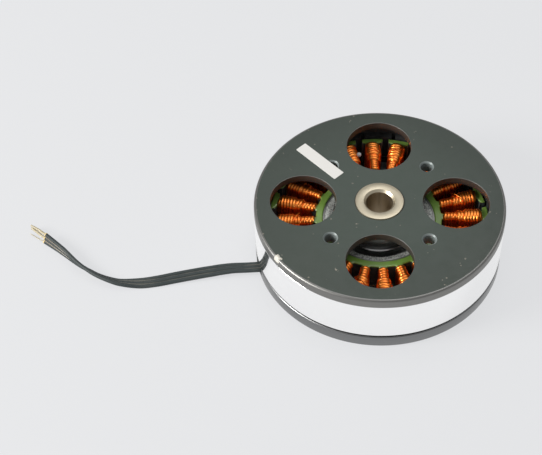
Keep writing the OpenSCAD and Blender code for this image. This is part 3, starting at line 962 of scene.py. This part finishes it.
def stator_core():
    """Yoke, necks and shoes under one green coat with round edges and filleted slot corners; the slot walls
    are painted dark as shade.
    """
    outline = []
    pitch = TAU / TOOTH_COUNT
    fillet = 0.8 * MM
    for k in range(TOOTH_COUNT):
        turn = TOOTH_TURN + k * pitch
        neck_angle = math.asin(NECK_HALF / YOKE_R)
        fillet_angle = fillet / YOKE_R
        side = []
        arc = 5
        for s in range(arc + 1):
            a = pitch / 2 - (pitch / 2 - neck_angle - fillet_angle) * s / arc
            side.append((YOKE_R * math.cos(a), YOKE_R * math.sin(a)))
        for s in range(1, 5):
            t = s / 4 * TAU / 4
            a = neck_angle + fillet_angle * (1 - math.sin(t))
            r = YOKE_R + fillet * (1 - math.cos(t))
            side.append((r * math.cos(a), max(NECK_HALF, r * math.sin(a))))
        side += [
            (SHOE_IN_R - 1.2 * MM, NECK_HALF),
            (SHOE_IN_R - 0.4 * MM, NECK_HALF + 0.5 * MM),
            (SHOE_IN_R + 0.1 * MM, SHOE_HALF - 0.5 * MM),
            (SHOE_IN_R + 0.9 * MM, SHOE_HALF),
        ]
        shoe_angle = math.asin(SHOE_HALF / TOOTH_R)
        for s in range(4):
            a = shoe_angle * (1 - s / 4)
            side.append((TOOTH_R * math.cos(a), TOOTH_R * math.sin(a)))
        mirrored = [(x, -y) for x, y in side[1:]]
        whole = mirrored + [(TOOTH_R, 0)] + list(reversed(side))
        outline += turned(whole, turn)
    bore = [polar(CORE_BORE_R + COAT_BORE_GAP, k * TAU / 128) for k in range(128)]
    mesh = curve_plate("green_core_coat", [outline, bore], CORE_LOW, CORE_TOP, COAT_EDGE_R)
    mesh.materials.append(epoxy_finish())
    # The slot walls get a dark painted shade instead of the green coat.
    mesh.materials.append(plain_finish("slot_wall_painted_shade", (0.038, 0.048, 0.046), 0.5))
    for polygon in mesh.polygons:
        if abs(polygon.normal.z) < 0.2 and polygon.center.xy.length > CORE_BORE_R + 1 * MM:
            polygon.material_index = 1
    place("green_core_coat", mesh, "stator", "green_epoxy", ["insulation_upper", "insulation_lower"], 40)


WIRE_R = 0.9 * MM
STRAND_R = 0.22 * MM
TURN_PITCH = 1.06 * MM
# Each layer of a coil, in millimetres: where it starts and stops along the tooth, half its width and
# how high its crest stands above the core
COIL_LAYERS = [
    (22.8, 35.7, 1.0, 0.1),
    (35.7, 27.5, 1.65, 0.48),
    (29.9, 35.2, 2.05, 0.8),
]


def coil_turns(rng):
    """Centre line of one coil, layer upon layer."""
    points = []
    arch = 10
    for layer, (start, stop, half, crest) in enumerate(COIL_LAYERS):
        start, stop, half = start * MM, stop * MM, half * MM
        height = CORE_TOP - CORE_MID + crest * MM
        turns = round(abs(stop - start) / TURN_PITCH)
        step = (stop - start) / turns
        bow = (0.95 + 0.2 * layer) * MM
        slant = rng.uniform(-0.25, 0.45) * MM
        for i in range(turns):
            x = start + step * (i + 0.5) + rng.uniform(-0.05, 0.05) * MM
            drop = rng.uniform(0, 0.05) * MM
            a, h = half - drop, height - drop
            for s in range(arch + 1):
                t = math.pi * s / arch
                points.append((x + slant * math.cos(t), a * math.cos(t), h - bow + bow * math.sin(t)))
            for s in range(arch + 1):
                t = math.pi * (1 + s / arch)
                shift = step * s / arch - slant
                points.append((x + shift, a * math.cos(t), bow - h + bow * math.sin(t)))
    return points


def crossing_strand(rng):
    """A strand that runs askew over the finished coil."""
    x = rng.uniform(29, 34) * MM
    lean = rng.choice((-1, 1)) * rng.uniform(0.8, 1.7) * MM
    half, rise = 2.5 * MM, 1.3 * MM
    foot = CORE_TOP - CORE_MID + 1.72 * MM - rise
    return [
        (x + lean * math.cos(t), half * math.cos(t), foot + rise * math.sin(t))
        for t in (math.pi * (s / 12) for s in range(13))
    ]


def capped(build, rings, index=0):
    """Skins a row of closed rings and closes both ends."""
    n = len(rings[0])
    build.loops(rings, index=index)
    build.add(rings[0], [tuple(reversed(range(n)))], index)
    build.add(rings[-1], [tuple(range(n))], index)


def ball(build, centre, radius, index, squash=1.0):
    """A small blob of resin."""
    around, up = 20, 10
    rings = []
    for s in range(1, up):
        t = math.pi * s / up
        rings.append(circle(centre, radius * math.sin(t), centre[2] - squash * radius * math.cos(t), around))
    capped(build, rings, index)


def tube(build, points, radius):
    """A round tube along a line of points, with closed ends."""
    sides = 8
    rings = []
    count = len(points)
    previous = None
    for i, p in enumerate(points):
        here = Vector(p)
        ahead = (Vector(points[min(i + 1, count - 1)]) - Vector(points[max(i - 1, 0)])).normalized()
        if previous is None:
            side = ahead.orthogonal().normalized()
        else:
            side = (previous - ahead * previous.dot(ahead)).normalized()
        previous = side
        other = ahead.cross(side)
        rings.append([
            here + radius * (math.cos(k * TAU / sides) * side + math.sin(k * TAU / sides) * other)
            for k in range(sides)
        ])
    capped(build, rings)


def windings():
    """Three phases, each on two groups of four teeth; phase b has two drops of resin on it."""
    copper = copper_finish()
    bead = plain_finish("white_bead", (0.58, 0.58, 0.60), 0.3)
    drop = plain_finish("resin_drop", (0.30, 0.25, 0.16), 0.35)
    rng = random.Random(24)
    for phase, letter in enumerate("abc"):
        build = Build()
        for group in (0, TOOTH_COUNT // 2):
            for k in range(4):
                turn = Matrix.Rotation(TOOTH_TURN + (group + phase * 4 + k) * TAU / TOOTH_COUNT, 3, "Z")
                lines = [(coil_turns(rng), WIRE_R)]
                if rng.random() < 0.5:
                    lines.append((crossing_strand(rng), STRAND_R))
                for line, radius in lines:
                    placed = [turn @ Vector(p) + Vector((0, 0, CORE_MID)) for p in line]
                    tube(build, placed, radius)
        mats = [copper]
        if letter == "b":
            mats += [bead, drop]
            ball(build, (*polar(30 * MM, math.radians(103.5)), CORE_TOP + 0.9 * MM), 0.88 * MM, 1)
            ball(build, (*polar(22.1 * MM, math.radians(84)), CORE_TOP - 0.2 * MM), 0.8 * MM, 2, 0.7)
        nodes = [f"winding_phase_{letter}"]
        build.piece(f"wire_turns_{letter}", mats, "stator", "copper_wire", nodes, 80)


def bearing_housing():
    build = Build()
    step_z = HOUSING_TOP - HOUSING_STEP_DOWN
    lower_seat = high("wave_washer").z + 0.1 * MM
    upper_seat = low("upper_bearing_outer_ring").z
    step_r = HOUSING_R + HOUSING_STEP
    profile = [
        (BEARING_R, FLOOR_TOP),
        (SUPPORT_IN_R, FLOOR_TOP),
        (SUPPORT_IN_R, FLOOR_TOP + HOUSING_FLANGE),
        (step_r, FLOOR_TOP + HOUSING_FLANGE),
        (step_r, step_z - 0.5 * MM),
        (step_r - 0.5 * MM, step_z),
        (HOUSING_R, step_z),
        (HOUSING_R, HOUSING_TOP),
        (BEARING_R, HOUSING_TOP),
        (BEARING_R, upper_seat),
        (SHOULDER_R, upper_seat),
        (SHOULDER_R, lower_seat),
        (BEARING_R, lower_seat),
    ]
    build.lathe(soften(profile, 0.15 * MM, 2), 128)
    mat = steel_finish("housing_alloy", (0.50, 0.50, 0.50), 0.30)
    build.piece("turned_bearing_housing", mat, "stator", "housing_alloy", ["bearing_housing"], 30)
    frame["nodes"]["bearing_spacer"].data.materials[0] = mat


def stator_support():
    """The support tube with fine serrations round its top edge."""
    build = Build()
    teeth, per = 120, 4
    n = teeth * per
    rings = []
    for s in range(n):
        a = s * TAU / n
        drop = 0.28 * MM if s % per < per / 2 else 0
        rings.append([
            (r * math.cos(a), r * math.sin(a), z)
            for r, z in (
                (SUPPORT_IN_R, FLOOR_TOP),
                (CORE_BORE_R + SUPPORT_LEDGE, FLOOR_TOP),
                (CORE_BORE_R + SUPPORT_LEDGE, CORE_LOW),
                (CORE_BORE_R, CORE_LOW),
                (CORE_BORE_R, SUPPORT_TOP - 0.1 * MM),
                (CORE_BORE_R - 0.1 * MM, SUPPORT_TOP),
                (SUPPORT_IN_R + 1.1 * MM, SUPPORT_TOP - 0.15 * MM),
                (SUPPORT_IN_R + 0.2 * MM, SUPPORT_TOP - 0.5 * MM - drop),
                (SUPPORT_IN_R, SUPPORT_TOP - 0.8 * MM - drop),
            )
        ])
    build.loops(rings, True, True)
    build.piece("serrated_support", support_finish(), "stator", "support_metal", ["stator_support"], 20)


# ---------------------------------------------------------------- lead

# The route in the part's source: distance out from the can's side, distance to the left of the
# line it leaves along, and height under the ribbon, in millimetres, and tilt in degrees
LEAD_ROUTE = [
    (-0.8, 0.2, 2, 0),
    (4.5, -0.9, 1.9, 0),
    (8.7, -1.9, 1.7, -2),
    (12.9, -2.5, 1.4, -7),
    (16.6, -2.9, 1, -11),
    (20.7, -3.3, 0.7, -13),
    (28.6, -3.8, 0.3, -14),
    (36, -4.2, 0, -10),
    (42, -5, 0, -1),
    (48.1, -6.4, 0, 24),
    (51.7, -8.2, 0, 38),
    (55.8, -11.3, 0, 50),
    (58.7, -14.4, 0, 58),
    (61.9, -18.3, 0, 72),
    (65.8, -24.6, 0, 93),
    (68.9, -29.2, 0, 104),
    (71.7, -33.2, 0, 117),
]
BARE_TIPS = [(76.8, -37.8, 0.5), (75.9, -39.4, 1.6), (75.8, -40, 2.6)]


def lead_place(out, left, height):
    """A place beside the motor, from its distances in millimetres along and across the lead's way out."""
    away = Matrix.Rotation(LEAD_ANGLE, 3, "Z")
    return away @ Vector((CAN_R + out * MM, left * MM, height * MM))


def lead_line(steps):
    """The smooth line through the route, as (place, tilt) pairs."""
    def stop(i):
        out, left, under, tilt = LEAD_ROUTE[max(0, min(len(LEAD_ROUTE) - 1, i))]
        rest = LEAD_CORE_D / 2 + LEAD_PITCH * abs(math.sin(math.radians(tilt)))
        x, y, z = lead_place(out, left, under)
        return Vector((x, y, z + rest, math.radians(tilt)))

    line = []
    for i in range(len(LEAD_ROUTE) - 1):
        a, b, c, d = (stop(i + k) for k in (-1, 0, 1, 2))
        for s in range(steps):
            t = s / steps
            square, cube = 2 * a - 5 * b + 4 * c - d, 3 * b - a - 3 * c + d
            line.append(0.5 * (2 * b + (c - a) * t + square * t ** 2 + cube * t ** 3))
    line.append(stop(len(LEAD_ROUTE) - 1))
    return [(Vector(p[:3]), p[3]) for p in line]


def ribbon_frames(line):
    """At each point of the line: place, direction, and directions across and through the ribbon."""
    frames = []
    for i, (here, tilt) in enumerate(line):
        ahead = (line[min(i + 1, len(line) - 1)][0] - line[max(i - 1, 0)][0]).normalized()
        side = Vector((0, 0, 1)).cross(ahead).normalized()
        up = ahead.cross(side)
        across = side * math.cos(tilt) + up * math.sin(tilt)
        frames.append((here, ahead, across, ahead.cross(across)))
    return frames


def ribbon_outline():
    """Three round cores joined side by side, as one outline."""
    r = LEAD_CORE_D / 2
    groove = math.acos(0.86 * LEAD_PITCH / 2 / r)
    count = 9
    top = []
    for core in (1, 0, -1):
        start = 0 if core == 1 else groove
        stop = math.pi if core == -1 else math.pi - groove
        for s in range(count + 1):
            a = start + (stop - start) * s / count
            top.append((core * LEAD_PITCH + r * math.cos(a), r * math.sin(a)))
    return top + [(x, -y) for x, y in reversed(top[1:-1])]


def lead_cord():
    """The ribbon, with its cut end and its bare strands."""
    line = lead_line(10)
    frames = ribbon_frames(line)
    here, ahead, across, through = frames[-1]
    frames.insert(-1, (here - 0.4 * MM * ahead, ahead, across, through))
    outline = ribbon_outline()
    build = Build()
    rings = [[p + a * x + t * y for x, y in outline] for p, _, a, t in frames]
    jacket, valley = [], []
    n = len(outline)
    for k in range(n):
        x = (outline[k][0] + outline[(k + 1) % n][0]) / 2
        seam = abs(abs(x) - LEAD_PITCH / 2) < 0.17 * LEAD_PITCH
        (valley if seam else jacket).append((k, (k + 1) % n, n + (k + 1) % n, n + k))
    for low_ring, high_ring in zip(rings[:-2], rings[1:-1]):
        build.add(low_ring + high_ring, jacket)
        # The valley faces carry the seam finish's painted highlight.
        build.add(low_ring + high_ring, valley, 2)
    build.loops(rings[-2:], index=1)
    build.add(rings[0], [tuple(reversed(range(n)))])
    build.add(rings[-1], [tuple(range(n))], 1)
    mats = [lead_finish(), cut_end_finish(), seam_finish()]
    cord = build.piece("ribbon_lead", mats, "stator", "lead_jacket", ["lead_cord"], 50)
    weld(cord, 0.001 * MM, 50)
    ends = bare_ends(frames[-1])


def bare_ends(last):
    """Tinned strands, one bundle for each core: two fan out, and the third is drawn thin."""
    here, ahead, across, _ = last
    build = Build()
    for k, (place_on, fan, count) in enumerate(((-1, 0.07, 3), (0, 0.22, 6), (1, 0.2, 6))):
        start = here + across * place_on * LEAD_PITCH - ahead * 0.4 * MM
        along = lead_place(*BARE_TIPS[k]) - start
        side = along.orthogonal().normalized()
        other = along.normalized().cross(side)
        for s in range(count):
            points = []
            for i in range(25):
                t = i / 24
                a = s * TAU / count + 2.5 * t
                spread = fan * MM * (0.7 + 0.5 * math.sin(2.6 * t)) * (1 - 0.45 * t * t)
                sag = 0.12 * MM * math.sin(5 * t + k) * t
                fanned = spread * (math.cos(a) * side + math.sin(a) * other)
                points.append(start + along * t * (1 - 0.05 * (s % 3)) + fanned + sag * side)
            tube(build, points, (0.11 if k == 0 else 0.27) * MM)
    return build.piece("tinned_strands", wire_finish(), "stator", "tinned_wire", ["lead_bare_ends"], 60)


# ---------------------------------------------------------------- the pieces that CAD already shapes well


def paint(nodes, mat):
    """Gives nodes that keep their CAD shape a material."""
    for node in nodes:
        mesh = frame["nodes"][node].data
        mesh.materials.clear()
        mesh.materials.append(mat)


def carried_over():
    sides = ("upper", "lower")
    coat = plain_finish("magnet_coat", (0.030, 0.031, 0.031), 0.5)
    races = [f"{side}_bearing_{ring}_ring" for side in sides for ring in ("outer", "inner")]
    paint(["stator_laminations"], lamination_finish())
    paint(["magnets_north", "magnets_south"], coat)
    paint(races, steel_finish("bearing_steel", (0.60, 0.60, 0.60), 0.20))
    for part, mat in (
        ("shields", steel_finish("shield_steel", (0.45, 0.45, 0.45), 0.3)),
        ("balls", steel_finish("ball_steel", (0.80, 0.80, 0.80), 0.08)),
        ("cage", steel_finish("cage_brass", (0.60, 0.42, 0.18), 0.3)),
    ):
        paint([f"{side}_bearing_{part}" for side in sides], mat)
    paint(["wave_washer", "shim_washer"], steel_finish("spring_steel", (0.38, 0.38, 0.38), 0.3))
    paint(["shaft_circlip", "housing_screws"], steel_finish("black_steel", (0.06, 0.06, 0.06), 0.35))
    paint(["star_point_sleeve", "lead_splices"], plain_finish("sleeve_black", (0.02, 0.02, 0.02), 0.45))
    paint(["cord_grommet"], plain_finish("rubber_black", (0.018, 0.02, 0.02), 0.55))


studio()
lead_cord()
rotor_cover()
flux_ring()
hollow_shaft()
cover_label()
marker_dab()
base_plate()
stator_core()
windings()
bearing_housing()
stator_support()
carried_over()
